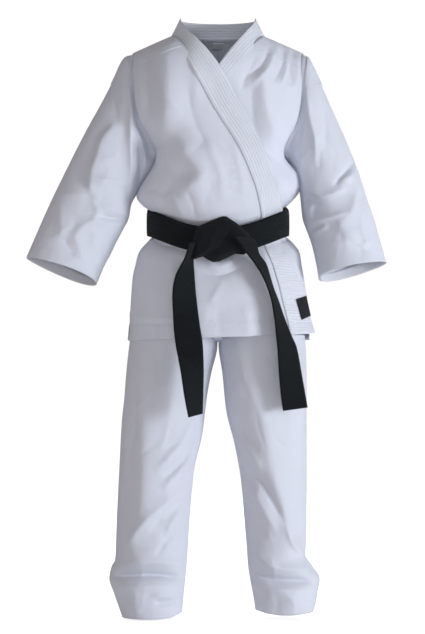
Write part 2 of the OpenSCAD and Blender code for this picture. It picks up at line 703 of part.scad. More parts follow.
crotch_gusset();
leg_panel(RIGHT, FRONT);  // right_leg_front
leg_panel(RIGHT, BACK);  // right_leg_back
leg_hem_facing(RIGHT);  // right_hem_facing
leg_panel(LEFT, FRONT);  // left_leg_front
leg_panel(LEFT, BACK);  // left_leg_back
leg_hem_facing(LEFT);  // left_hem_facing
belt_inner_wrap();
belt_outer_wrap();
knot_core();
knot_wrap();
right_belt_tail();
left_belt_tail();
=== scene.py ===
import bpy
import numpy as np
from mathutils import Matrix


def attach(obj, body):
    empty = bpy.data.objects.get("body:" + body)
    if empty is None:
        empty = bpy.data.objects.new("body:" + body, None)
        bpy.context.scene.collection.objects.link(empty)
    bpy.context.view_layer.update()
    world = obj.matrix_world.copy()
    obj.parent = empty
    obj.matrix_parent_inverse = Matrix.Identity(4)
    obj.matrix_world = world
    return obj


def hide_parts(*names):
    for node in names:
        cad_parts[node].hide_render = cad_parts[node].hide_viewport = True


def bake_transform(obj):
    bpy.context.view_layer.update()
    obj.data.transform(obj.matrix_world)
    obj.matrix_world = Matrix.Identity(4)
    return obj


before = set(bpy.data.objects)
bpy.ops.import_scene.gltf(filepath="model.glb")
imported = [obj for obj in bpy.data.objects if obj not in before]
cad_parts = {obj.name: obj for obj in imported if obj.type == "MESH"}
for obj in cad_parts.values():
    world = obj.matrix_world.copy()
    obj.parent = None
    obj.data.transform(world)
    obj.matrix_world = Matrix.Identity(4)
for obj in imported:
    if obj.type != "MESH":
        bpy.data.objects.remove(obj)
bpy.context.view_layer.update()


# The jacket body: light bleached cotton, two fronts and two back halves seamed at the sides and the middle
# of the back. The wearer's right front lies over the left one; both blouse over the belt. All of the
# jacket's pieces are laid on this one worn surface, each in its own layer, so that they never cross.
NECK_HEIGHT = 928.0      # the frame's origin above the trouser hems, in millimetres
BELT_HEIGHT = 630.0      # the belt's middle at the sides
BELT_DROP = 30.0         # how far it dips in front and rises behind
ARMHOLE_MIDDLE, ARMHOLE_REACH, ARMHOLE_DEPTH = 817.5, 82.5, 46    # the armhole's middle and half axes


def placed(x, y, h):
    """Millimetres across, deep and above the hems, as points in metres in the frame."""
    return np.stack(np.broadcast_arrays(x, y, h - NECK_HEIGHT), axis=-1) / 1000


def smooth(x, table):
    """Monotone cubic through a table of (position, value): each slope is the harmonic mean of its two
    chords."""
    at, value = np.array(table, float).T
    step = np.diff(at)
    chord = np.diff(value) / step
    slope = np.zeros_like(value)
    same = chord[:-1] * chord[1:] > 0
    slope[1:-1][same] = 2 * chord[:-1][same] * chord[1:][same] / (chord[:-1] + chord[1:])[same]
    slope[0], slope[-1] = chord[0], chord[-1]
    x = np.clip(x, at[0], at[-1])
    i = np.clip(np.searchsorted(at, x) - 1, 0, len(step) - 1)
    t = (x - at[i]) / step[i]
    return ((1 + 2 * t) * (1 - t) ** 2 * value[i] + t * (1 - t) ** 2 * step[i] * slope[i]
            + t * t * (3 - 2 * t) * value[i + 1] + t * t * (t - 1) * step[i] * slope[i + 1])


def ease(t):
    """0 below 0, 1 above 1 and a smooth step between."""
    t = np.clip(t, 0, 1)
    return t * t * (3 - 2 * t)


def evenly(line, t):
    """Points on a line of corners at shares t of its length, rounded by a smooth curve through the
    corners."""
    line = np.array(line, float)
    run = np.concatenate([[0], np.cumsum(np.linalg.norm(np.diff(line, axis=0), axis=1))])
    return [smooth(t * run[-1], np.stack([run, line[:, c]], axis=-1)) for c in (0, 1)]


def folded(x, h, folds):
    """Height of the folds in the cloth seen from the front. Each fold is (height, reach to its left, reach
    to its right, x0, h0, x1, h1 ...): a ridge, or a valley if negative, along a curve through its points.
    Across it the height falls as the exponential of minus a hyperbola of the distance over the reach; it
    tapers as a smooth step to both ends."""
    x, h = np.broadcast_arrays(x, h)
    total = np.zeros(x.shape)
    t = np.linspace(0, 1, 33)
    for height, left, right, *corners in folds:
        px, ph = evenly(np.reshape(corners, (-1, 2)), t)
        tx, th = np.gradient(px), np.gradient(ph)
        length = np.maximum(np.hypot(tx, th), 1e-9)
        reach = 3 * max(left, right)
        near = np.nonzero((x > px.min() - reach) & (x < px.max() + reach) & (h > ph.min() - reach)
            & (h < ph.max() + reach))
        if not len(near[0]):
            continue
        dx, dh = x[near][:, None] - px, h[near][:, None] - ph
        at = (dx * dx + dh * dh).argmin(axis=1)
        row = np.arange(len(at))
        dx, dh, tx, th, length = dx[row, at], dh[row, at], tx[at], th[at], length[at]
        across, along = (dh * tx - dx * th) / length, (dx * tx + dh * th) / length
        share = (at + np.clip(along / length, -0.5, 0.5)) / 32
        taper = ease(share / 0.3) * ease((1 - share) / 0.3)
        wide = np.where(across < 0, left, right)
        past_end = np.maximum(np.abs(along) - length, 0)
        total[near] += (height * taper * np.exp(0.45 - np.sqrt(0.2 + (1.5 * across / wide) ** 2))
            * np.exp(-(past_end / 9) ** 2))
    return total


def creases(seed, count, x_range, h_range, lean, height=1.3):
    """A seeded scatter of small short folds, alternately ridges and valleys, that lean about one way."""
    draw = np.random.default_rng(seed)
    made = []
    for n in range(count):
        x, h = draw.uniform(*x_range), draw.uniform(*h_range)
        turn, size, bow = np.radians(lean + draw.normal(0, 24)), draw.uniform(34, 84), draw.normal(0, 5)
        ux, uh = np.cos(turn) * size / 2, np.sin(turn) * size / 2
        made.append(((-1) ** n * draw.uniform(0.5, 1.0) * height, draw.uniform(3, 8), draw.uniform(4, 10),
                     x - ux, h - uh, x + bow * np.sin(turn), h - bow * np.cos(turn), x + ux, h + uh))
    return made


def ridge_height(x):
    """The shoulder seam over x: straight from the neck to the tip, and carried on low over the neck
    opening."""
    x = np.abs(x)
    return NECK_HEIGHT + np.where(x < 75, 14 * (1 - (x / 75) ** 2), -27 * (x - 75) / 63)


LEFT_HALF = [(440, 144), (466, 144), (485, 142), (523, 139), (545, 137), (562, 134), (581, 131), (596, 120),
    (606, 106), (616, 99), (648, 99), (660, 113), (678, 129), (692, 134), (706, 132), (722, 120),
    (735, 111)]
RIGHT_HALF = [(440, 142), (466, 140), (485, 140), (523, 138), (545, 136), (562, 132), (581, 127),
    (596, 114), (606, 104), (616, 99), (648, 99), (658, 120), (672, 130), (684, 126), (702, 113),
    (720, 101), (735, 95)]
MIDDLE_HALF = [(440, 142), (523, 138), (562, 133), (581, 127), (596, 115), (610, 101), (650, 101),
    (666, 116), (690, 126), (740, 129), (930, 132)]
ARMHOLE_RIGHT = [(735, 95), (745, 96), (760, 105), (778, 115), (797, 125), (826, 131), (865, 134), (900, 137)]
ARMHOLE_LEFT = [(735, 106), (745, 106), (760, 112), (778, 120), (797, 127), (826, 132), (865, 134),
    (900, 137)]
ARMHOLE_BACK = [(735, 108), (760, 122), (797, 129), (840, 132), (900, 137)]
FRONT_DEPTH = [(440, 92), (480, 92), (540, 88), (575, 80), (592, 74), (608, 67), (652, 67), (664, 82),
    (682, 90), (705, 91), (760, 88), (840, 86), (930, 86)]
BACK_DEPTH = [(440, 94), (480, 93), (540, 90), (580, 80), (606, 68), (652, 67), (664, 82), (690, 88),
    (760, 88), (840, 86), (930, 84)]
RIGHT_FRONT_FOLDS = [
    (26, 30, 44, -90, 950, -84, 874, -81, 812, -84, 750), (5, 7, 8, -127, 893, -121, 850, -117, 790),
    (-6, 10, 13, -112, 930, -110, 850, -104, 785),
    (-5, 8, 8, -131, 832, -116, 792, -86, 742),
    (14, 20, 38, -84, 764, -50, 740, -29, 705, -40, 688, -76, 668),
    (5, 8, 12, -82, 752, -102, 722, -118, 698, -130, 676),
    (4, 9, 9, -80, 684, -64, 660, -52, 630), (-3, 8, 10, -52, 684, -40, 662, -34, 630),
    (4, 6, 8, -106, 680, -90, 654), (-4, 14, 10, -112, 690, -84, 676, -56, 682),
    (3.5, 9, 16, -22, 770, -10, 738, 4, 700, 8, 660), (-2.5, 10, 10, -50, 850, -38, 790, -12, 740),
    (3, 12, 18, -40, 905, -34, 850, -40, 790),
    (2.5, 8, 12, 20, 760, 34, 710, 40, 660),
] + creases(3, 14, (-110, 30), (650, 900), 110, 1.1)
LEFT_FRONT_FOLDS = [
    (-5, 6, 6, 84, 918, 70, 880, 38, 854), (5, 7, 8, 96, 922, 82, 878, 48, 842),
    (-6, 6, 6, 105, 918, 102, 884, 84, 848), (6, 6, 7, 114, 918, 111, 885, 98, 840),
    (-6, 6, 6, 125, 918, 113, 872, 121, 842), (5, 5, 6, 130, 912, 126, 866, 128, 840),
    (15, 26, 30, 92, 890, 75, 848, 78, 814, 86, 784, 97, 755, 113, 724),
    (-4, 16, 12, 66, 862, 54, 824, 56, 790, 72, 748), (7, 6, 9, 98, 734, 120, 723, 142, 704),
    (-6, 5, 5, 98, 742, 117, 732, 134, 720),
    (-6, 14, 10, 70, 752, 98, 722, 126, 690), (4, 16, 12, 60, 742, 84, 712, 108, 676),
    (3, 8, 8, 98, 694, 88, 652), (-3, 8, 8, 64, 900, 44, 860, 36, 830),
] + creases(5, 8, (70, 126), (660, 900), 80, 1.1)
SKIRT_FOLDS = [
    (-6, 6, 8, -108, 606, -84, 590, -60, 594), (4.5, 14, 20, -98, 606, -106, 560, -98, 490),
    (3, 10, 14, -76, 590, -70, 540, -62, 490),
    (5, 9, 6, -26, 572, 0, 560, 34, 578), (-4, 10, 7, -34, 556, 0, 545, 46, 560),
    (1.8, 6, 9, 8, 540, -4, 515, -18, 500), (3, 18, 14, 4, 566, 40, 530, 80, 508),
    (3.5, 8, 12, 66, 606, 82, 550, 106, 490), (-3.5, 5, 6, 95, 612, 101, 570),
    (3, 7, 9, 108, 606, 122, 560, 132, 490), (3, 16, 16, -40, 510, -42, 440),
    (3.6, 12, 3.5, -30, 473, -80, 474, -120, 479, -160, 488), (-2, 3, 3, -118, 470, -112, 444),
    (2, 3, 4, -92, 470, -90, 444),
    (3, 14, 14, 42, 505, 48, 440), (3, 10, 12, 98, 490, 108, 440), (-2.5, 12, 12, 0, 500, 2, 440),
    (-2.5, 10, 10, -96, 480, -100, 440),
] + creases(8, 12, (-120, 120), (450, 590), 95, 0.9)
BACK_FOLDS = [
    (6, 16, 16, -76, 915, -60, 820, -24, 720), (6, 16, 16, 76, 915, 60, 820, 24, 720),
    (7, 14, 14, -118, 780, -80, 720, -30, 680), (7, 14, 14, 118, 780, 80, 720, 30, 680),
    (-5, 9, 9, -98, 905, -100, 850, -106, 780), (-5, 9, 9, 98, 905, 100, 850, 106, 780),
    (5, 14, 14, 0, 720, 4, 645), (-5, 10, 10, -64, 700, -44, 648),
    (-5, 10, 10, 58, 700, 44, 648), (5, 12, 12, -90, 606, -108, 560, -110, 470),
    (5, 12, 12, 92, 606, 110, 560, 112, 470), (4, 14, 14, -40, 606, -46, 460),
    (4, 14, 14, 36, 606, 44, 460), (-3, 12, 12, 0, 606, 2, 500), (4, 10, 12, 96, 700, 70, 668, 40, 650),
    (4, 10, 12, -96, 700, -70, 668, -40, 650),
] + creases(11, 26, (-120, 120), (460, 900), 90, 1.1)


def dip(turn):
    """How far the belt line stands above its height at the sides: it rises behind and is drawn down to the
    knot."""
    s = np.sin(np.radians(turn))
    return np.where(s < 0, -BELT_DROP * np.abs(s) ** 2.4, BELT_DROP * s)


def across_body(turn, h):
    """The jacket's x in millimetres: cosine times a plain half width, which turns into the outline's
    towards the sides; above the underarm the outline is the armhole's edge."""
    c = np.cos(np.radians(turn))
    tilted = h - dip(turn)
    low = np.where(c > 0, smooth(tilted, LEFT_HALF), smooth(tilted, RIGHT_HALF))
    high = np.where(c < 0, smooth(h, ARMHOLE_RIGHT), smooth(h, ARMHOLE_LEFT))
    high = np.where(np.sin(np.radians(turn)) < 0, high, smooth(h, ARMHOLE_BACK))
    edge = low + (high - low) * ease((h - 714) / 30)
    wide = np.where((c > 0) & (np.sin(np.radians(turn)) < 0),
        smooth(h, [(440, 8), (470, 4.5), (505, 3), (545, 0)]), 0)
    edge = edge + np.where(h < 545, wide, 0)
    middle = smooth(tilted, MIDDLE_HALF)
    return c * (middle + (edge - middle) * np.abs(c) ** 3)


def worn(turn, h):
    """The jacket's surface at turn degrees anticlockwise from the wearer's left side. Its depth is the full
    depth times the sine's 0.85th power, and near the sides the armhole's ellipse, which dies out with the
    1.8th power; it is rounded off towards the shoulder seam as a quarter circle, and carries the folds."""
    turn, h = np.broadcast_arrays(np.asarray(turn, float), np.asarray(h, float))
    s = np.sin(np.radians(turn))
    front, across = s < 0, np.abs(s)
    tilted = h - dip(turn)
    x = across_body(turn, h)
    edge = ARMHOLE_DEPTH * np.sqrt(np.clip(1 - ((h - ARMHOLE_MIDDLE) / ARMHOLE_REACH) ** 2, 0, 1))
    edge = edge * (1 - ease(across / 0.25) * (1 - ease((h - 735) / 60)))
    full = np.where(front, smooth(tilted, FRONT_DEPTH), smooth(tilted, BACK_DEPTH))
    down = np.clip((ridge_height(x) - h) / 95, 0, 1)
    soft = across ** 0.7 * np.sqrt(1 - (1 - np.clip(down * 4, 0, 1)) ** 2) * (1
        - np.exp(-((tilted - BELT_HEIGHT) / 22) ** 4))
    relief = np.zeros(x.shape)
    for side, folds in ((front, RIGHT_FRONT_FOLDS + LEFT_FRONT_FOLDS + SKIRT_FOLDS), (~front, BACK_FOLDS)):
        relief[side] = folded(x[side], h[side], folds)
    deep = (edge * (1 - across) ** 1.8 + full * across ** 0.85) * np.sqrt(1 - (1 - down) ** 2) + relief * soft
    return placed(x, np.where(front, -1.0, 1.0) * np.maximum(deep, 0.4), h)


def jacket(turn, h, lift=0.0):
    """The worn surface moved out along its normal by lift millimetres; the normal is the cross product of
    small steps along turn and height."""
    turn, h = np.broadcast_arrays(np.asarray(turn, float), np.asarray(h, float))
    base = worn(turn, h)
    side = np.cross(worn(turn + 0.6, h) - worn(turn - 0.6, h), worn(turn, h + 1.5) - worn(turn, h - 1.5))
    length = np.maximum(np.linalg.norm(side, axis=-1, keepdims=True), 1e-12)
    return base + side / length * np.broadcast_to(lift, turn.shape)[..., None] / 1000


def front_turn(x, h):
    """The turn of the point of the front at x and height h, by halving between the right side and the
    left."""
    x, h = np.broadcast_arrays(np.asarray(x, float), np.asarray(h, float))
    low, high = np.full(x.shape, 180.0), np.full(x.shape, 360.0)
    for _ in range(20):
        turn = (low + high) / 2
        left_of = across_body(turn, h) < x
        low, high = np.where(left_of, turn, low), np.where(left_of, high, turn)
    return (low + high) / 2


def cloth_piece(name, points, body, material, thickness=1.1, wrap=False):
    """A sheet from a grid of points: rows upwards, columns anticlockwise from above, so the faces point
    outwards. Its map runs along the cloth in metres; Solidify gives the thickness, inwards."""
    rows, cols = points.shape[:2]
    reach = cols if wrap else cols - 1
    i, j = np.meshgrid(np.arange(rows - 1), np.arange(reach), indexing="ij")
    k = (j + 1) % cols
    quads = np.stack([i * cols + j, i * cols + k, (i + 1) * cols + k, (i + 1) * cols + j], axis=-1)
    mesh = bpy.data.meshes.new(name)
    mesh.from_pydata(points.reshape(-1, 3).tolist(), [], quads.reshape(-1, 4).tolist())
    run = np.concatenate([points, points[:, :1]], axis=1) if wrap else points
    along = np.linalg.norm(np.diff(run, axis=1), axis=-1)
    up = np.linalg.norm(np.diff(points, axis=0), axis=-1)
    u = np.concatenate([np.zeros((rows, 1)), np.cumsum(along, axis=1)], axis=1)
    u = u - u[:, u.shape[1] // 2, None]
    v = np.concatenate([np.zeros((1, cols)), np.cumsum(up, axis=0)])
    v = np.concatenate([v, v[:, :1]], axis=1) if wrap else v
    corner = np.stack([np.stack([a[i, j], a[i, j + 1], a[i + 1, j + 1], a[i + 1, j]], axis=-1).ravel()
        for a in (u, v)], axis=-1)
    mesh.uv_layers.new(name="cloth").data.foreach_set("uv", corner.ravel())
    mesh.shade_smooth()
    piece = bpy.data.objects.new(name, mesh)
    bpy.context.scene.collection.objects.link(piece)
    mesh.materials.append(material)
    wall = piece.modifiers.new("cloth thickness", "SOLIDIFY")
    wall.thickness, wall.offset, wall.use_even_offset = thickness / 1000, -1.0, False
    if isinstance(body, str):
        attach(piece, body)
    else:
        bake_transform(piece)
    return piece


def sew(name, node, points, body, material, thickness=1.1, wrap=False):
    """A sheet from a grid of points, which stands for one solid and has one material slot; the imported part
    named node is hidden."""
    piece = cloth_piece(name, points, body, material, thickness, wrap)
    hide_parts(node)


def cotton(name, shade, weave=0.9, weave_depth=0.10, crumple=1.0, rows=(), pitch=2.6, quilt=None,
        quilt_depth=0.9, gloss=0.16):
    """Bleached cotton: a plain weave of crossed sine threads and two sizes of crumple as bump, a faint
    mottling of the colour, and rows of stitches, which are dashes at set heights up the piece or at a set
    spacing across a band."""
    material = bpy.data.materials.new(name)
    material.use_nodes = True
    nodes, links = material.node_tree.nodes, material.node_tree.links
    shader = nodes["Principled BSDF"]
    shader.inputs["Roughness"].default_value = 0.85
    shader.inputs["Specular IOR Level"].default_value = gloss
    shader.inputs["Sheen Weight"].default_value = 0.05
    shader.inputs["Sheen Roughness"].default_value = 0.5

    def node(kind, **values):
        made = nodes.new(kind)
        for key, value in values.items():
            setattr(made, key, value)
        return made

    def math(operation, a, b=None, clamp=False):
        made = node("ShaderNodeMath", operation=operation, use_clamp=clamp)
        for socket, value in zip(made.inputs, (a, b)):
            if value is not None:
                if hasattr(value, "links"):
                    links.new(value, socket)
                else:
                    socket.default_value = value
        return made.outputs[0]

    cloth_map = node("ShaderNodeUVMap", uv_map="cloth")
    split = node("ShaderNodeSeparateXYZ")
    links.new(cloth_map.outputs[0], split.inputs[0])
    along, up = split.outputs[0], split.outputs[1]
    turn = 2 * np.pi / (weave / 1000)
    thread = math("MULTIPLY", math("SINE", math("MULTIPLY", along, turn)),
        math("SINE", math("MULTIPLY", up, turn)))
    place = node("ShaderNodeTexCoord")
    broad, fine = node("ShaderNodeTexNoise"), node("ShaderNodeTexNoise")
    for noise, scale, detail in ((broad, 26, 3), (fine, 120, 2)):
        links.new(place.outputs["Object"], noise.inputs["Vector"])
        noise.inputs["Scale"].default_value, noise.inputs["Detail"].default_value = scale, detail
    height = math("MULTIPLY", thread, weave_depth / 1000)
    height = math("ADD", height, math("MULTIPLY", broad.outputs["Fac"], 0.0022 * crumple))
    height = math("ADD", height, math("MULTIPLY", fine.outputs["Fac"], 0.00035 * crumple))
    sewn = None
    dash = math("GREATER_THAN", math("SINE", math("MULTIPLY", along, 2 * np.pi / (pitch / 1000))), -0.35)
    for row in rows:
        near = math("SUBTRACT", 1.0, math("MULTIPLY", math("ABSOLUTE", math("SUBTRACT", up, row / 1000)),
            1 / 0.0008), clamp=True)
        sewn = near if sewn is None else math("MAXIMUM", sewn, near)
    if quilt:
        saw = math("ABSOLUTE", math("SUBTRACT", math("FRACT", math("MULTIPLY", up, 1000 / quilt)), 0.5))
        near = math("SUBTRACT", 1.0, math("MULTIPLY", saw, quilt / 0.8), clamp=True)
        sewn = near if sewn is None else math("MAXIMUM", sewn, near)
        height = math("ADD", height, math("MULTIPLY", saw, quilt_depth / 1000))
    if sewn is not None:
        stitch = math("MULTIPLY", sewn, dash)
        height = math("SUBTRACT", height, math("MULTIPLY", sewn, 0.0006))
        height = math("ADD", height, math("MULTIPLY", stitch, 0.0005))
    bump = node("ShaderNodeBump")
    bump.inputs["Strength"].default_value, bump.inputs["Distance"].default_value = 1.0, 1.0
    links.new(height, bump.inputs["Height"])
    links.new(bump.outputs[0], shader.inputs["Normal"])
    colour = node("ShaderNodeMix", data_type="RGBA")
    colour.inputs["A"].default_value = (*[c * 0.955 for c in shade], 1)
    colour.inputs["B"].default_value = (*shade, 1)
    links.new(math("ADD", math("MULTIPLY", broad.outputs["Fac"], 0.9), math("MULTIPLY", thread, 0.25),
        clamp=True), colour.inputs["Factor"])
    links.new(colour.outputs["Result"], shader.inputs["Base Color"])
    return material


jacket_cotton = cotton("jacket cotton", (0.74, 0.765, 0.86))
ROOT = "jacket_and_seat"
STEPS = np.linspace(0, 1, 150)[:, None]
ACROSS = np.linspace(0, 1, 96)[None, :]
LAPEL_SEAM = [(575, 73), (640, 69), (674, 63), (707, 53), (760, 32), (819, 1.6), (864, -29), (895, -52),
    (928, -75)]


def split_line(turn):
    """The line behind the belt where the bodice ends and the skirt begins."""
    return BELT_HEIGHT + dip(turn) - 12


def shoulder_line(turn):
    """The height at which a column at this turn meets the shoulder seam, or the neckline inside it."""
    height = 915.0
    for _ in range(4):
        height = np.minimum(ridge_height(across_body(turn, height)) - 0.3, 929)
    return height


def front_points(sign, lift):
    """A front, from the side seam and armhole (0) to the lapel's seam (1), its heights shared out between
    the split line and the shoulder seam. sign is 1 for the wearer's left."""
    seam_h = 588 + (NECK_HEIGHT - 588) * STEPS
    under = 4 + (9 * ease((925 - seam_h) / 30) if sign > 0 else 0)
    seam_x = -sign * (smooth(seam_h, LAPEL_SEAM) + under)
    edge = front_turn(seam_x, np.minimum(seam_h, 926))
    start = 360.0 if sign > 0 else 180.0
    across = ACROSS if sign < 0 else 1 - ACROSS
    turn = start + (edge - start) * across
    h = split_line(turn) + (shoulder_line(turn[-1:]) - split_line(turn)) * STEPS
    rise = lift * ease(across / 0.16) * ease((ridge_height(worn(turn, h)[..., 0] * 1000) - h) / 26 + 0.15)
    return jacket(turn, h, rise)


RIGHT_LAYER, LEFT_LAPEL_LAYER, RIGHT_LAPEL_LAYER = 4.2, 2.0, 6.2
for name, sign, lift in (("right_front", -1, RIGHT_LAYER), ("left_front", 1, 0.0)):
    points = front_points(sign, lift)
    sew(name + "_cloth", name + "_panel", points, ROOT, jacket_cotton)

for name, start in (("right_back", 180.0), ("left_back", 0.0)):
    across = ACROSS if start == 0 else 1 - ACROSS
    turn = start + (90 - start) * across
    h = split_line(turn) + (shoulder_line(turn) - split_line(turn)) * STEPS
    points = jacket(turn, h)
    sew(name + "_cloth", name + "_panel", points, ROOT, jacket_cotton)


# The collar and lapel band: one long strip of several layers of cotton, stitched in close rows, that runs
# from under the belt up one front, round the back of the neck and down the other front, where it crosses
# over.
RIGHT_SEAM = [(0, -76, 927), (0.12, -65, 908), (0.25, -47, 880), (0.4, -28, 847), (0.55, -3, 803),
    (0.7, 28, 754), (0.82, 50, 705), (0.9, 61, 672), (0.96, 67, 638), (1, 72, 590)]
LEFT_SEAM = [(0, -76, 927), (0.12, -59, 909), (0.25, -38, 884), (0.4, -14, 853), (0.55, 9, 814),
    (0.7, 35, 764), (0.82, 53, 712), (0.9, 64, 676), (0.96, 70, 640), (1, 73, 590)]
FREE_LINE = [(0, -61, 955), (0.12, -44, 932), (0.25, -19, 902), (0.4, 7, 866), (0.55, 32, 820),
    (0.7, 60, 768), (0.82, 81, 717), (0.9, 92, 680), (0.96, 101, 645), (1, 106, 598)]


def band_column(sign, s, k):
    """A point of the band at s, from the side of the neck (0) to under the belt (1), and k across it from
    its seam (0) to its free edge (1). Near the neck it is ruled between two curves in space; on the chest
    it lies on the jacket."""
    def line(table, column):
        return smooth(s, [(row[0], row[column]) for row in table])
    seam = LEFT_SEAM if sign > 0 else RIGHT_SEAM
    x0, h0, x1, h1 = line(seam, 1), line(seam, 2), line(FREE_LINE, 1), line(FREE_LINE, 2)
    x, h = -sign * (x0 + (x1 - x0) * k), h0 + (h1 - h0) * k
    lift = LEFT_LAPEL_LAYER if sign > 0 else RIGHT_LAPEL_LAYER
    laid = jacket(front_turn(x, np.minimum(h, 925)), np.minimum(h, 925), lift)
    quarter = np.sin(np.radians(90 * np.clip(s / 0.3, 0, 1)))
    stood = placed(x, -(84 * quarter + lift * quarter), h)
    weight = ease((s - 0.1) / 0.22)[..., None]
    return stood + (laid - stood) * weight


def collar_points():
    """The band's grid: up the left lapel, round the neck as half an ellipse, and down the right lapel."""
    k = np.linspace(0, 1, 14)[:, None]
    s = np.linspace(0, 1, 130)[None, :] ** 0.9
    left, right = band_column(1, s[:, ::-1], k), band_column(-1, s, k)
    a = np.radians(np.linspace(0, 180, 60)[1:-1])[None, :]
    k = k * 1.12 - 0.12 * ease(np.sin(a) * 3)
    round_neck = placed((75 - 13 * k) * np.cos(a), (46 - 8 * k) * np.sin(a),
        NECK_HEIGHT + (27 - 3 * np.sin(a)) * k)
    return np.concatenate([left, round_neck, right], axis=1)


quilted_band = cotton("quilted band", (0.77, 0.795, 0.885), crumple=0.5, quilt=4.6, pitch=3.0)
points = collar_points()
sew("collar_band_cloth", "collar_band", points, ROOT, quilted_band, thickness=1.6)


# The neck label: a small blank woven label, sewn inside the back of the neck below the band.
label_weave = cotton("label weave", (0.72, 0.74, 0.8), weave=0.5, crumple=0.2)
turn, h = np.linspace(86.4, 93.6, 12)[None, :], np.linspace(914, 924, 8)[:, None]
points = jacket(turn, h, -2.4)
sew("neck_label_cloth", "neck_label", points, ROOT, label_weave,
    thickness=0.6)


# The shoulder yokes: a second layer of cotton over each shoulder seam, stitched down round its edge.
yoke_cotton = cotton("yoke cotton", (0.74, 0.765, 0.86), rows=(3,))
for name, sign in (("right_shoulder_yoke", -1), ("left_shoulder_yoke", 1)):
    drop = np.concatenate([np.linspace(30, 1.2, 22), -np.linspace(1.2, 30, 22)])[:, None]
    inner = 73 - np.where(drop > 0, (25 if sign > 0 else 15) * drop / 30, 0)
    x = sign * (inner + (133 - inner) * np.linspace(0, 1, 28)[None, :])
    x = x[:, ::-1] if sign < 0 else x
    h = ridge_height(x) - np.abs(drop)
    turn_front = front_turn(x, h)
    turn_back = 360 - turn_front
    lift = np.where((drop > 0) & (sign < 0), RIGHT_LAYER * ease(drop / 26 + 0.15), 0) + 0.7
    points = jacket(np.where(drop > 0, turn_front, turn_back), h, lift)
    sew(name + "_cloth", name, points, ROOT, yoke_cotton,
        thickness=0.5)


# The ties: narrow cotton tapes that hold the wrap closed at the waist, one inside and one outside.
tape_cotton = cotton("tape cotton", (0.8, 0.81, 0.86), weave=1.2, crumple=0.3)
for name, first, last, above, lift in (("inner_tie", 188, 230, 30, -3.2), ("outer_tie", 338, 354, 30, 1.8)):
    turn, up = np.linspace(first, last, 30)[None, :], np.linspace(0, 12, 6)[:, None]
    points = jacket(turn, BELT_HEIGHT + BELT_DROP * np.sin(np.radians(turn)) + above - 24 + up, lift)
    sew(name + "_cloth", name, points, ROOT, tape_cotton,
        thickness=0.8)


# The sleeves: wide tubes set into the armholes, with a stitched hem at the cuff and a patch over the head.
# Each hangs from the shoulder in long folds and creases across at the elbow.
RIGHT_OUTER = [(137, 900), (147, 896), (156, 884), (164, 866), (182, 830), (213, 773), (242, 715),
    (269, 658), (294, 600), (305, 574)]
RIGHT_INNER = [(95, 735), (102, 716), (115, 697), (129, 677), (139, 658), (142, 640), (152, 619),
    (162, 600), (171, 581), (181, 562), (193, 533)]
LEFT_OUTER = [(137, 900), (145, 894), (152, 881), (162, 860), (172, 836), (195, 784), (214, 739),
    (226, 707), (238, 667), (248, 638), (258, 602), (268, 566)]
LEFT_INNER = [(111, 735), (120, 716), (127, 697), (131, 675), (135, 638), (142, 617), (149, 597),
    (156, 566), (160, 541)]
RIGHT_SLEEVE_FOLDS = [
    (9, 7, 28, -152, 800, -166, 782, -184, 762, -193, 733, -201, 706, -202, 684, -186, 656),
    (-4, 12, 8, -168, 790, -196, 760, -206, 733, -214, 706, -212, 676),
    (-4, 7, 7, -166, 880, -163, 830, -160, 780), (3, 6, 6, -153, 880, -151, 800),
    (8, 7, 6, -146, 862, -137, 820, -138, 772, -137, 700, -140, 640),
    (-14, 10, 10, -130, 826, -112, 770, -106, 720), (-12, 8, 8, -126, 764, -124, 720, -130, 680),
    (6, 4, 5, -136, 790, -120, 754, -113, 712), (5, 4, 4, -130, 748, -128, 692),
    (4, 9, 6, -200, 694, -170, 694, -136, 688), (4, 7, 12, -190, 654, -160, 645, -134, 642),
    (-7, 5, 5, -196, 636, -164, 633, -128, 634), (4, 8, 5, -206, 628, -170, 624, -134, 622),
    (3, 10, 10, -268, 664, -240, 672, -200, 668), (3.5, 10, 14, -264, 668, -250, 640, -246, 590),
    (5, 10, 18, -202, 672, -190, 640, -216, 614, -242, 584),
    (3, 8, 12, -228, 608, -222, 590, -212, 556), (3, 8, 8, -200, 608, -184, 570),
    (-3, 8, 8, -246, 602, -226, 562), (4, 10, 18, -168, 850, -192, 800, -218, 732),
] + creases(21, 22, (-280, -140), (560, 840), 62, 1.3)
LEFT_SLEEVE_FOLDS = [
    (7, 5, 16, 135, 862, 146, 790, 153, 755, 154, 712), (-3, 8, 8, 166, 830, 171, 780, 168, 735),
    (-7, 6, 7, 222, 736, 200, 706, 180, 680), (6, 8, 10, 230, 722, 208, 700, 184, 690),
    (7, 12, 26, 216, 722, 226, 704, 222, 676, 211, 642, 195, 619, 202, 598, 208, 560),
    (-9, 6, 8, 128, 668, 156, 654, 150, 628), (5, 8, 8, 130, 682, 165, 668, 206, 682),
    (5, 6, 8, 140, 626, 176, 632, 210, 642), (-5, 4, 4, 144, 614, 162, 620), (4, 5, 5, 150, 609, 176, 620),
    (3, 6, 8, 194, 620, 228, 588, 254, 610), (3, 6, 8, 234, 664, 227, 620, 240, 584),
    (-14, 8, 8, 124, 790, 114, 748, 112, 716), (6, 5, 6, 120, 740, 130, 724, 132, 690),
    (3, 8, 8, 160, 604, 182, 590, 210, 590), (3, 10, 14, 172, 850, 196, 790, 214, 740),
] + creases(22, 22, (136, 262), (560, 830), 112, 1.3)


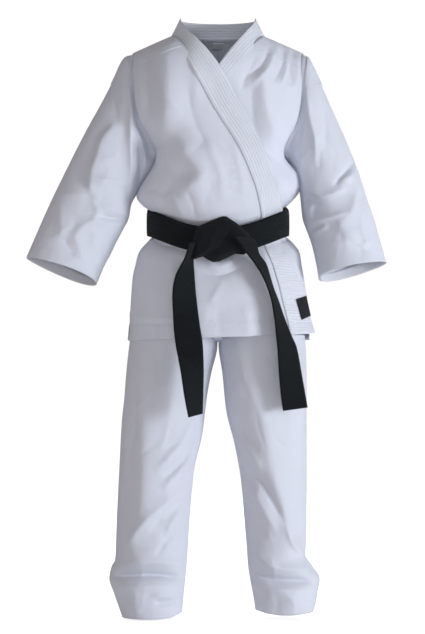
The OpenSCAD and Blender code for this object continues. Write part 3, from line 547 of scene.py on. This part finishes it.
def sleeve_surface(sign, round_, t, lift=0.0):
    """A sleeve at share t from armhole to cuff and round_ degrees from its outer fold towards the front.
    Rings join the outer and inner edges as ellipses; the first is the armhole, the last leans with the
    cuff, and folds stand out fore and aft."""
    outer, inner, folds = ((RIGHT_OUTER, RIGHT_INNER, RIGHT_SLEEVE_FOLDS) if sign < 0
        else (LEFT_OUTER, LEFT_INNER, LEFT_SLEEVE_FOLDS))
    c, s = np.cos(np.radians(round_)), np.sin(np.radians(round_))
    ox, oh = evenly(outer, t)
    ix, ih = evenly(inner, t)
    x, h = (ox + ix) / 2 + (ox - ix) / 2 * c, (oh + ih) / 2 + (oh - ih) / 2 * c
    seam_h = ARMHOLE_MIDDLE + ARMHOLE_REACH * c
    seam_turn = (180 if sign < 0 else 0) + np.where(s > 0, 0.01, -0.01) * (1 if sign < 0 else -1)
    seam_x = np.abs(across_body(seam_turn, seam_h))
    first = (outer[0][0] + inner[0][0]) / 2 + (outer[0][0] - inner[0][0]) / 2 * c
    x = x + (seam_x - first) * (1 - ease(t / 0.14)) - 3.5 * (1 - ease(t / 0.012))
    half = smooth(t, [(0, 46), (0.12, 51), (0.35, 50), (0.7, 46), (1, 42)])
    relief = folded(sign * x, h, folds) * np.where(s > 0, 1.0,
        0.6) * np.abs(s) ** 0.6 * ease(t / 0.05) * ease((1 - t) / 0.06 + 0.25)
    welt = 2.2 * ease(t / 0.02) - 1.6
    y = -30 * t * t - np.sign(s) * (half * np.abs(s) ** 0.92 + (relief + welt * np.abs(s) + lift))
    return placed(sign * (x + lift * c), y, h + 9.5 * s * t ** 1.5 * (1 - 0.3 * c))


def sleeve_points(sign, first, last, rows, round_from=0.0, round_to=360.0, cols=132, lift=0.0):
    """A sleeve's grid from share first (top) to last (foot), columns anticlockwise from above and rows
    upwards."""
    t = np.linspace(last, first, rows)[:, None]
    wrap = round_to - round_from == 360
    around = np.linspace(round_from, round_to, cols, endpoint=not wrap)[None, :]
    return sleeve_surface(sign, around - 180 if sign < 0 else -around, t, lift)


sleeve_cotton = cotton("sleeve cotton", (0.74, 0.765, 0.86), rows=(19,))
facing_cotton = cotton("facing cotton", (0.74, 0.75, 0.82), crumple=0.4)
for side, sign in (("right", -1), ("left", 1)):
    body = (ROOT, side + "_sleeve_body", (sign * 0.118, 0, -0.193), (sign * 0.189, 0, -0.264))
    points = sleeve_points(sign, 0, 1, 170)
    sew(side + "_sleeve_cloth", side + "_sleeve", points, body, sleeve_cotton,
        wrap=True)
    points = sleeve_points(sign, 0.945, 0.998, 10, lift=-2.0)
    sew(side + "_cuff_facing_cloth", side + "_cuff_facing", points, side + "_sleeve_body", facing_cotton,
        thickness=0.8, wrap=True)
    round_ = np.linspace(-70, 70, 60)[None, :] * -sign
    share = 0.014 + np.linspace(1, 0, 40)[:, None] * 0.15 * (1 - (round_ / 74) ** 2)
    points = sleeve_surface(sign, round_, share, 1.2)
    sew(side + "_sleeve_head_cloth", side + "_sleeve_head_patch", points, body, yoke_cotton,
        thickness=0.8)


# The skirt of the jacket: the fronts and backs carried on below the belt to a stitched hem, open at both
# sides in short slits. The lapel band runs on down both fronts, and a small woven patch is sewn near its
# foot.
HEM_HEIGHT = 448.0
SKIRT = "front_skirt_body"
skirt_blend = (ROOT, SKIRT, (0, -0.075, -0.345), (0, -0.085, -0.425))
skirt_cotton = cotton("skirt cotton", (0.74, 0.765, 0.86), rows=(22, 25))
FOOT_SEAM = [(446, 112), (500, 100), (560, 84), (590, 73), (620, 70)]
FOOT_FREE = [(446, 151), (480, 141), (520, 133), (560, 121), (598, 104), (620, 100)]


def foot_turn(sign, h, table):
    """The turn of an edge of the lapel's foot at each height, on its own side."""
    return front_turn(-sign * np.minimum(smooth(h, table), 150), h)


def skirt_points(sign, lift, rows=90):
    """A front skirt, from its slit (0) to the far edge of the lapel's foot (1), between the hem and the
    split line."""
    v = np.linspace(0, 1, rows)[:, None]
    across = ACROSS if sign < 0 else 1 - ACROSS
    slit = 1.8 * ease((0.2 - v) / 0.12)
    start = 180 + slit if sign < 0 else 360 - slit
    level = HEM_HEIGHT + v * (600 - HEM_HEIGHT)
    far = foot_turn(sign, level, FOOT_SEAM)
    turn = start + (far + (3 if sign < 0 else -3) - start) * across
    hem = HEM_HEIGHT + 6 * np.cos(np.radians(turn))
    h = hem + (split_line(turn) - hem) * v
    return jacket(turn, h, lift * ease(across / 0.16))


for name, sign, lift in (("outer_front_skirt", -1, RIGHT_LAYER), ("inner_front_skirt", 1, 0.0)):
    points = skirt_points(sign, lift)
    sew(name + "_cloth", name, points, skirt_blend, skirt_cotton)

for name, sign, lift in (("outer_lapel_foot", -1, RIGHT_LAPEL_LAYER),
        ("inner_lapel_foot", 1, LEFT_LAPEL_LAYER)):
    v, k = np.linspace(0, 1, 80)[:, None], np.linspace(0, 1, 20)[None, :]
    k = k if sign < 0 else 1 - k
    level = HEM_HEIGHT + v * (604 - HEM_HEIGHT)
    seam, free = foot_turn(sign, level, FOOT_SEAM), foot_turn(sign, level, FOOT_FREE)
    limit = 356.5 if sign < 0 else 183.5
    free = np.minimum(free, limit) if sign < 0 else np.maximum(free, limit)
    turn = seam + (free - seam) * k
    hem = HEM_HEIGHT - 0.6 + 6 * np.cos(np.radians(turn))
    h = hem + (split_line(turn) - hem) * v
    points = jacket(turn, h, lift - 0.6)
    sew(name + "_cloth", name, points, skirt_blend, quilted_band, thickness=1.0)

turn, up = np.linspace(184, 352, 120)[None, :], np.linspace(0.5, 20, 8)[:, None]
points = jacket(turn, HEM_HEIGHT + 6 * np.cos(np.radians(turn)) + up, -2.2)
sew("front_hem_facing_cloth", "front_hem_facing", points, SKIRT, facing_cotton,
    thickness=0.8)

patch_weave = cotton("patch weave", (0.016, 0.017, 0.022), weave=0.6, weave_depth=0.12, crumple=0.1,
    rows=(1.6, 29))
v, k = np.linspace(0, 1, 16)[:, None], np.linspace(0, 1, 12)[None, :]
x, h = 127.6 - 8.7 * v + (13.6 + 1.7 * v) * k, 475 + 32.5 * v + (6 - 0.5 * v) * k
points = jacket(front_turn(x, h), h, RIGHT_LAPEL_LAYER + 1.0)
sew("woven_patch_cloth", "woven_patch", points, SKIRT, patch_weave,
    thickness=0.7)

for name, side in (("right_back_skirt", 180), ("left_back_skirt", 0)):
    v = np.linspace(0, 1, 90)[:, None]
    across = ACROSS if side < 90 else 1 - ACROSS
    start = side + 1.5 * ease((0.2 - v) / 0.12) * (1 if side < 90 else -1)
    turn = start + (90 - start) * across
    h = HEM_HEIGHT - 5 + (split_line(turn) - HEM_HEIGHT + 5) * v
    points = jacket(turn, h, 3.0 * ease((0.22 - v) / 0.12) * (1 - across) ** 6)
    sew(name + "_cloth", name, points, ROOT, skirt_cotton)
turn, h = np.linspace(4, 176, 120)[None, :], np.linspace(HEM_HEIGHT - 4.5, HEM_HEIGHT + 15, 8)[:, None]
points = jacket(turn, h, -2.2)
sew("back_hem_facing_cloth", "back_hem_facing", points, ROOT, facing_cotton,
    thickness=0.8)


# The trousers: a gathered waistband with elastic inside, four seat panels meeting at a diamond gusset, and
# two straight legs of a front and a back each, whose hems break into flat stacked folds.
trouser_cotton = cotton("trouser cotton", (0.735, 0.758, 0.85), rows=(21,))
HIP_HALF = [(437, 137), (480, 128), (522, 110), (555, 93), (592, 90)]
HIP_DEPTH = [(437, 80), (480, 76), (555, 61), (592, 60)]


def waist_ring(h, inset):
    """Rings of the waistband at heights h, set in by inset and rippled by the elastic's gathers."""
    a = np.radians(np.linspace(0, 360, 240, endpoint=False))[None, :]
    ripple = 0.8 * np.sin(a * 46) * np.ones_like(h)
    return placed((89 - inset + ripple) * np.cos(a), (59 - inset + ripple) * np.sin(a), h + 0 * a)


top, foot = 625.0, 591.0
h = np.concatenate([np.linspace(foot, top, 8), np.linspace(top, foot, 8)])[:, None]
inset = np.concatenate([np.zeros(8), np.full(8, 6.2)])[:, None]
points = waist_ring(h, inset)
sew("waistband_cloth", "waistband", points, ROOT, trouser_cotton, thickness=1.0,
    wrap=True)
elastic_weave = cotton("elastic weave", (0.75, 0.74, 0.7), weave=1.6, weave_depth=0.2, crumple=0.1)
points = waist_ring(np.linspace(597, 619, 6)[:, None], np.full((6, 1), 3.0))
sew("waist_elastic_cloth", "waist_elastic", points, ROOT, elastic_weave,
    thickness=1.2, wrap=True)

for name, first, last in (("right_front_rise", 180, 270), ("left_front_rise", 270, 360),
        ("right_back_rise", 90, 180), ("left_back_rise", 0, 90)):
    turn, v = np.linspace(first, last, 50)[None, :], np.linspace(0, 1, 50)[:, None]
    a = np.radians(turn)
    low = 451 + 8 * np.cos(a) ** 2
    h = low + (592 - low) * v
    soft = 1.5 * np.sin(a * 46) * ease((h - 560) / 30)
    points = placed((smooth(h, HIP_HALF) + soft) * np.cos(a), (smooth(h, HIP_DEPTH) + soft) * np.sin(a), h)
    sew(name + "_cloth", name, points, ROOT, trouser_cotton)
v, k = np.linspace(1, -1, 40)[:, None], np.linspace(-0.5, 0.5, 24)[None, :]
points = placed(k * 36 * (1.1 - np.abs(v)), v * 64 + 0 * k, 441 + 14 * v * v)
sew("crotch_gusset_cloth", "crotch_gusset", points[:, ::-1], ROOT, trouser_cotton)

RIGHT_LEG_OUTER = [(455, 139), (427, 143), (389, 147), (350, 150), (312, 154), (235, 158), (158, 162),
    (100, 164), (91, 165), (82, 170), (62, 174), (40, 167), (0, 153)]
RIGHT_LEG_INNER = [(455, 1.5), (437, 0.8), (389, 11), (350, 18), (293, 25), (235, 38), (158, 45), (110, 48),
    (82, 50), (43, 54), (0, 58)]
LEFT_LEG_OUTER = [(455, 138), (427, 141), (389, 142), (312, 142), (235, 142), (158, 142), (120, 141),
    (101, 140), (82, 151), (62, 163), (43, 160), (24, 157), (0, 149)]
LEFT_LEG_INNER = [(455, 1.5), (437, 0.8), (389, 7), (331, 13), (274, 27), (216, 37), (158, 42), (110, 46),
    (82, 48), (24, 58), (0, 61)]
RIGHT_LEG_FOLDS = [
    (10, 26, 44, -122, 470, -122, 326, -119, 240, -122, 169, -138, 138, -160, 78),
    (-4, 10, 8, -138, 420, -130, 316, -140, 250, -130, 180), (3, 6, 8, -146, 330, -150, 200),
    (-8, 9, 9, -20, 312, -52, 256, -94, 218), (6, 9, 12, -28, 330, -66, 270, -104, 234),
    (6, 10, 10, -32, 270, -60, 236, -92, 204), (-6, 10, 12, -46, 200, -80, 166, -112, 140),
    (7, 12, 16, -40, 222, -90, 178, -130, 142, -158, 88), (4, 6, 8, -50, 180, -70, 160, -84, 130),
    (-4, 8, 8, -52, 150, -80, 128, -100, 96), (5, 14, 20, -60, 128, -110, 108, -160, 104),
    (8, 12, 9, -36, 86, -104, 92, -180, 86), (-17, 8, 7, -34, 58, -104, 71, -190, 66),
    (5, 9, 9, -46, 48, -100, 54, -178, 48), (-6, 4, 6, -58, 32, -80, 28, -104, 30),
    (4, 6, 8, -52, 42, -78, 38, -108, 42), (4, 16, 16, -128, 54, -132, 24, -128, -8),
    (3, 16, 20, -80, 430, -78, 360, -84, 290),
] + creases(31, 30, (-156, -50), (20, 420), 55, 1.4)
LEFT_LEG_FOLDS = [
    (10, 34, 30, 30, 465, 38, 396, 54, 362, 70, 312, 78, 266, 93, 208, 107, 168, 116, 128, 134, 104, 168, 58),
    (-7, 6, 8, 0, 420, 10, 400, 26, 360), (5, 6, 6, 16, 415, 24, 390, 40, 350),
    (-9, 10, 9, 34, 248, 68, 221, 93, 177, 112, 140), (6, 10, 10, 44, 218, 70, 177, 96, 132),
    (-5, 8, 8, 44, 198, 62, 161, 72, 120), (6, 5, 9, 104, 170, 116, 126, 140, 98, 166, 62),
    (-6, 9, 13, 120, 200, 124, 150, 132, 110), (4, 8, 8, 30, 290, 56, 256, 74, 236),
    (-4, 7, 7, 30, 320, 50, 286, 66, 262), (-13, 7, 7, 36, 90, 93, 64, 172, 60),
    (6, 9, 9, 48, 102, 92, 84, 160, 78), (5, 10, 9, 46, 56, 96, 48, 160, 48),
    (-6, 5, 5, 52, 48, 60, 43, 76, 34), (4, 7, 9, 48, 120, 66, 96, 100, 84),
    (4, 16, 16, 118, 50, 122, 20, 118, -8),
    (-3, 14, 14, 92, 46, 92, 20, 90, -8), (3, 10, 12, 116, 430, 118, 360, 112, 290),
] + creases(32, 30, (44, 140), (20, 420), 118, 1.4)


TROUSER_HEM = [(-165, 1), (-110, 0.5), (-75, 3), (-58, 9), (0, 12), (58, 13), (80, 9), (105, 7), (155, 10)]


def leg_surface(sign, turn, h, lift=0.0):
    """A trouser leg at turn degrees anticlockwise from the wearer's left: an ellipse between its outer and
    inner edge, with its folds standing out fore and aft and dying out at the side seams."""
    outer, inner, folds = LEFT_LEG_OUTER, LEFT_LEG_INNER, LEFT_LEG_FOLDS
    if sign < 0:
        outer, inner, folds = RIGHT_LEG_OUTER, RIGHT_LEG_INNER, RIGHT_LEG_FOLDS
    c, s = np.cos(np.radians(turn)), np.sin(np.radians(turn))
    o, i = smooth(h, outer[::-1]), smooth(h, inner[::-1])
    x = sign * (o + i) / 2 + ((o - i) / 2 + lift) * c
    deep = smooth(h, [(0, 52), (60, 56), (100, 53), (250, 56), (350, 66), (437, 75), (455, 76)]) + lift
    relief = folded(x, h, folds) * np.where(s < 0, 1.0, 0.6) * ease(h / 24 + 0.25)
    y = np.sign(s) * (deep * np.abs(s) ** 0.92 + relief * np.abs(s) ** 0.6)
    return placed(x, y, h)


for side, sign in (("right", -1), ("left", 1)):
    body = (ROOT, side + "_leg_body", (sign * 0.08, 0, -0.486), (sign * 0.08, 0, -0.64))
    for face, first in (("front", 180), ("back", 0)):
        turn, h = np.linspace(first, first + 180, 90)[None, :], np.linspace(0, 1, 190)[:, None]
        hem = smooth(sign * 105 + 46 * np.cos(np.radians(turn)), TROUSER_HEM)
        points = leg_surface(sign, turn, hem + (452 - hem) * h)
        sew(f"{side}_leg_{face}_cloth", f"{side}_leg_{face}", points, body, trouser_cotton)
    turn, up = np.linspace(0, 360, 120, endpoint=False)[None, :], np.linspace(0.8, 20, 8)[:, None]
    hem = smooth(sign * 105 + 46 * np.cos(np.radians(turn)), TROUSER_HEM)
    points = leg_surface(sign, turn, up + hem, -2.4)
    sew(side + "_hem_facing_cloth", side + "_hem_facing", points, side + "_leg_body", facing_cotton,
        thickness=0.8, wrap=True)


# The belt: a stiff black cotton strap about 2.2 m long, sewn in close rows along its length. It goes twice
# round the waist, dips in front, is tied in a flat square knot, and its two ends hang down and twist as
# they fall.
belt_weave = cotton("belt weave", (0.008, 0.0105, 0.0125), weave=1.1, weave_depth=0.14, crumple=0.35,
    quilt=4.4, pitch=2.4, quilt_depth=0.25, gloss=0.12)
BELT_HALF, BELT_DEEP = 106.9, 79.4


def belt_points(out, wide, up):
    """A wrap of the belt: the tilted, slightly squared ellipse of the waist, pushed out, as a strap of its
    width."""
    a = np.radians(np.linspace(0, 360, 260, endpoint=False))[None, :]
    v = np.linspace(-0.5, 0.5, 12)[:, None]
    x = (BELT_HALF + out) * np.cos(a)
    y = (BELT_DEEP + out) * np.sign(np.sin(a)) * np.abs(np.sin(a)) ** 0.88
    swell = 0.8 * (1 - (2 * v) ** 4)
    return placed(x + swell * np.cos(a), y + swell * np.sin(a),
        BELT_HEIGHT + dip(np.degrees(a)) + up + v * wide)


for name, out, wide, up in (("belt_inner_wrap", 3.0, 39, 1.0), ("belt_outer_wrap", 6.6, 40, -1.0)):
    points = belt_points(out, wide, up)
    sew(name + "_cloth", name, points, ROOT, belt_weave, thickness=2.8, wrap=True)


def knot_fold(outline, front, thick, creases):
    """One fold of the knot: an outline filled from its middle out, swelling to a pillow whose height falls
    off as the fourth power of the share of the way to the edge, and pressed in along its creases."""
    outline = np.array(outline, float)
    corners = np.concatenate([outline, outline[:1]])
    run = np.concatenate([[0], np.cumsum(np.linalg.norm(np.diff(corners, axis=0), axis=1))])
    share = np.linspace(0, run[-1], 180, endpoint=False)
    rim_x, rim_h = np.interp(share, run, corners[:, 0]), np.interp(share, run, corners[:, 1])
    ring = np.linspace(0.02, 1, 26)[:, None]
    middle = outline.mean(axis=0)
    x, h = middle[0] + (rim_x - middle[0]) * ring, middle[1] + (rim_h - middle[1]) * ring
    swell = thick * (1 - ring ** 6) + folded(x, h, creases) * (1 - ring ** 4)
    return x, h, front - swell


def knot_piece(name, outline, front, thick, creases=()):
    """A closed pillow made of the fold's front and its flat back, with its map laid along the strap."""
    x, h, y = knot_fold(outline, front, thick, creases)
    points = np.concatenate([placed(x, y, h), placed(x, 0 * x + front + 1.5, h)[::-1][:-1]])
    area = np.sum(np.roll(x[-1], -1) * h[-1] - np.roll(h[-1], -1) * x[-1])
    points = points[:, ::-1] if area > 0 else points
    piece = cloth_piece(name + "_cloth", points[::-1], ROOT, belt_weave, thickness=0.6, wrap=True)
    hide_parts(name)


CORE_OUTLINE = [(-38, 588), (-36, 618), (-10, 628), (16, 630), (34, 622), (46, 613), (60, 596), (60, 588),
    (40, 578), (10, 582), (-20, 580)]
WRAP_OUTLINE = [(-41, 570), (-42, 590), (-38, 608), (-33, 622), (-14, 630), (6, 638), (13, 638), (30, 627),
    (42, 616), (50, 604), (46, 592), (35, 583), (18, 575), (2, 567), (-8, 566), (-16, 570), (-24, 575)]
WRAP_CREASES = [
    (2.5, 5, 9, -34, 618, -30, 606, -36, 590, -38, 574), (-3, 5, 5, 30, 628, 12, 606, 2, 590, -24, 574),
    (2.5, 7, 7, 12, 634, -8, 612, -16, 590, -30, 574), (-2, 5, 5, 46, 604, 22, 600, 8, 580),
]
knot_piece("knot_core", CORE_OUTLINE, -84.0, 8.0, [(2, 5, 5, -34, 604, 10, 600, 56, 592)])
knot_piece("knot_wrap", WRAP_OUTLINE, -92.0, 9.0, WRAP_CREASES)


def tail_points(edges, lean, reach):
    """A belt end by height: the strap spans between its two edges as seen, and what is missing of its 40 mm
    width goes into depth, to one side or the other, as it twists. It hangs just clear of the skirt in front
    of it."""
    h = np.linspace(edges[0][0], edges[-1][0], 100)[:, None]
    left, right = (smooth(h, [(row[0], row[c]) for row in edges]) for c in (1, 2))
    k = np.linspace(-0.5, 0.5, 14)[None, :]
    seen = right - left
    depth = np.minimum(np.sqrt(np.maximum(40 ** 2 - seen ** 2, 0)), reach)
    middle = (left + right) / 2
    rest = -worn(front_turn(middle, np.maximum(h, 460)), np.maximum(h, 460))[..., 1] * 1000 + 13.0
    rest = np.maximum(rest, smooth(h, [(330, 84), (460, 84), (560, 82), (590, 88), (620, 90)]))
    swell = 0.7 * (1 - (2 * k) ** 4)
    slant = lean * k * 5 * ease((edges[0][0] + 60 - h) / 60)
    return placed(middle + k * seen, -rest - depth / 2 + lean * k * depth - swell, h + slant)


RIGHT_TAIL = [(326, -45, -24), (360, -52, -23), (395, -57.6, -22.4), (432, -66, -23.5), (470, -70.2, -29),
    (507, -71.3, -33.6), (526, -69.8, -35.5), (545, -65.5, -36.8), (560, -58, -38), (571, -51, -38.5),
    (586, -46, -35), (596, -44, -30)]
LEFT_TAIL = [(335, 102, 141), (362, 98.5, 136.5), (395, 96, 131), (432, 94.1, 123.9), (451, 92.2, 115.7),
    (470, 90.7, 108.2), (488, 88.5, 101.5), (507, 85.1, 95.2), (526, 79.1, 87.7), (545, 70.9, 82.1),
    (563, 59.7, 76.5), (582, 44.8, 64.2), (597, 34, 61), (606, 26, 52)]
for side, edges, lean in (("right", RIGHT_TAIL, 1), ("left", LEFT_TAIL, 1)):
    points = tail_points(edges, lean, 22)
    x, y, z = (float(place) for place in points[-1].mean(axis=0))
    body = (SKIRT, side + "_tail_body", (x, y, z), (x, y, z - 0.045))
    sew(side + "_belt_tail_cloth", side + "_belt_tail", points, body, belt_weave,
        thickness=2.8)


# The studio: a plain pale floor, one broad cool light from the front on the right, a softer one straight in
# front, a narrow spot that reaches into the neck, a light behind, a weak warm one from the left, and a
# camera level with the middle of the uniform.
def studio_lamp(name, place, aim, size, watts, tint, cone=None):
    """A square area lamp at place, or a spot when it has a cone in degrees, turned so that its face looks
    at aim."""
    lamp = bpy.data.lights.new(name, "SPOT" if cone else "AREA")
    lamp.energy, lamp.color = watts, tint
    if cone:
        lamp.spot_size, lamp.spot_blend, lamp.shadow_soft_size = np.radians(cone), 1.0, size
    else:
        lamp.shape, lamp.size = "SQUARE", size
    holder = bpy.data.objects.new(name, lamp)
    bpy.context.scene.collection.objects.link(holder)
    direction = np.array(aim) - np.array(place)
    holder.location = place
    flat = np.hypot(direction[0], direction[1])
    holder.rotation_euler = (np.arctan2(flat, -direction[2]), 0, np.arctan2(-direction[0], direction[1]))


studio_lamp("cool key lamp", (3.3, -2.1, -0.4), (0, 0, -0.5), 1.1, 95, (0.9, 0.95, 1.0))
studio_lamp("front lamp", (-0.2, -4.5, -0.6), (0, 0, -0.6), 1.2, 40, (0.94, 0.96, 1.0))
studio_lamp("neck lamp", (0.3, -1.9, 0.7), (0, 0.04, -0.02), 0.1, 34, (0.9, 0.95, 1.0), cone=6)
studio_lamp("back lamp", (0.8, 3.0, 0.7), (0, 0, -0.4), 1.8, 42, (0.95, 0.97, 1.0))
studio_lamp("warm side lamp", (-2.8, -0.9, -0.2), (0, 0, -0.4), 1.6, 4, (1.0, 0.7, 0.55))

mesh = bpy.data.meshes.new("studio floor")
mesh.from_pydata([(-9, -9, -0.9305), (9, -9, -0.9305), (9, 9, -0.9305), (-9, 9, -0.9305)], [], [(0, 1, 2, 3)])
floor = bpy.data.objects.new("studio_floor", mesh)
bpy.context.scene.collection.objects.link(floor)


def camera_only(tree, seen, felt):
    """A strength that is one value for the camera's own rays and another for the light it gives."""
    ray, mix = tree.nodes.new("ShaderNodeLightPath"), tree.nodes.new("ShaderNodeMath")
    mix.operation = "MULTIPLY_ADD"
    mix.inputs[1].default_value, mix.inputs[2].default_value = seen - felt, felt
    tree.links.new(ray.outputs["Is Camera Ray"], mix.inputs[0])
    return mix.outputs[0]


paper = bpy.data.materials.new("white paper")
paper.use_nodes = True
paper_shader = paper.node_tree.nodes["Principled BSDF"]
paper_shader.inputs["Base Color"].default_value = (0.9, 0.9, 0.91, 1)
paper_shader.inputs["Roughness"].default_value = 0.95
paper_shader.inputs["Emission Color"].default_value = (1, 1, 1, 1)
paper.node_tree.links.new(camera_only(paper.node_tree, 0.8, 0.08), paper_shader.inputs["Emission Strength"])
mesh.materials.append(paper)

world = bpy.data.worlds.new("studio light")
bpy.context.scene.world = world
world.use_nodes = True
background = world.node_tree.nodes["Background"]
background.inputs["Color"].default_value = (1.0, 0.95, 0.94, 1)
world.node_tree.links.new(camera_only(world.node_tree, 1.07, 0.28), background.inputs["Strength"])
bpy.context.scene.view_settings.view_transform = "Standard"

lens = bpy.data.cameras.new("camera")
lens.sensor_fit, lens.sensor_height = "VERTICAL", 24.0
lens.lens = 24.0 * 5.0 / 1.0144
lens.clip_end = 60
camera = bpy.data.objects.new("camera", lens)
bpy.context.scene.collection.objects.link(camera)
camera.location = (-0.0088, -5.0, -0.448)
camera.rotation_euler = (np.pi / 2, 0, 0)
bpy.context.scene.camera = camera
